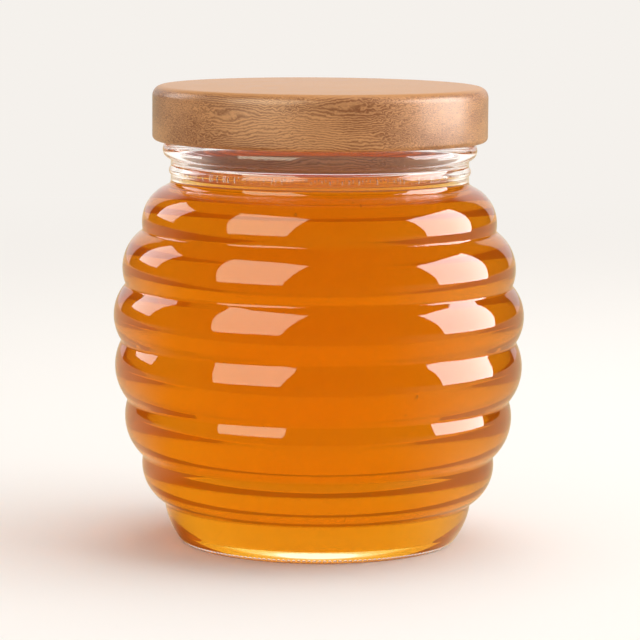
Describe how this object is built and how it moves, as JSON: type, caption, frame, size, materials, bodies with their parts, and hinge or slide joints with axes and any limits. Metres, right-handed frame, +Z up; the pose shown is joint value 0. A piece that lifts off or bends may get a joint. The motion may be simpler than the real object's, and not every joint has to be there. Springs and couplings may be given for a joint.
{
  "type": "honey jar",
  "caption": "Clear glass jar with a bowed, ribbed side and a rounded rim, filled with clear honey and closed by a flat round wooden lid.",
  "frame": {"origin": "middle of the circle that the jar stands on, on the table", "axes": "+Z up along the jar's axis, towards the lid; the jar is round, so +X and +Y are free"},
  "size_m": [0.1004, 0.1004, 0.1116],
  "materials": {
    "glass": "clear, fire-polished soda-lime glass",
    "honey": "clear amber honey",
    "wood": "turned and oiled, satin"
  },
  "bodies": {
    "root": {"jar": "glass", "honey": "honey", "lid": "wood"}
  },
  "joints": []
}
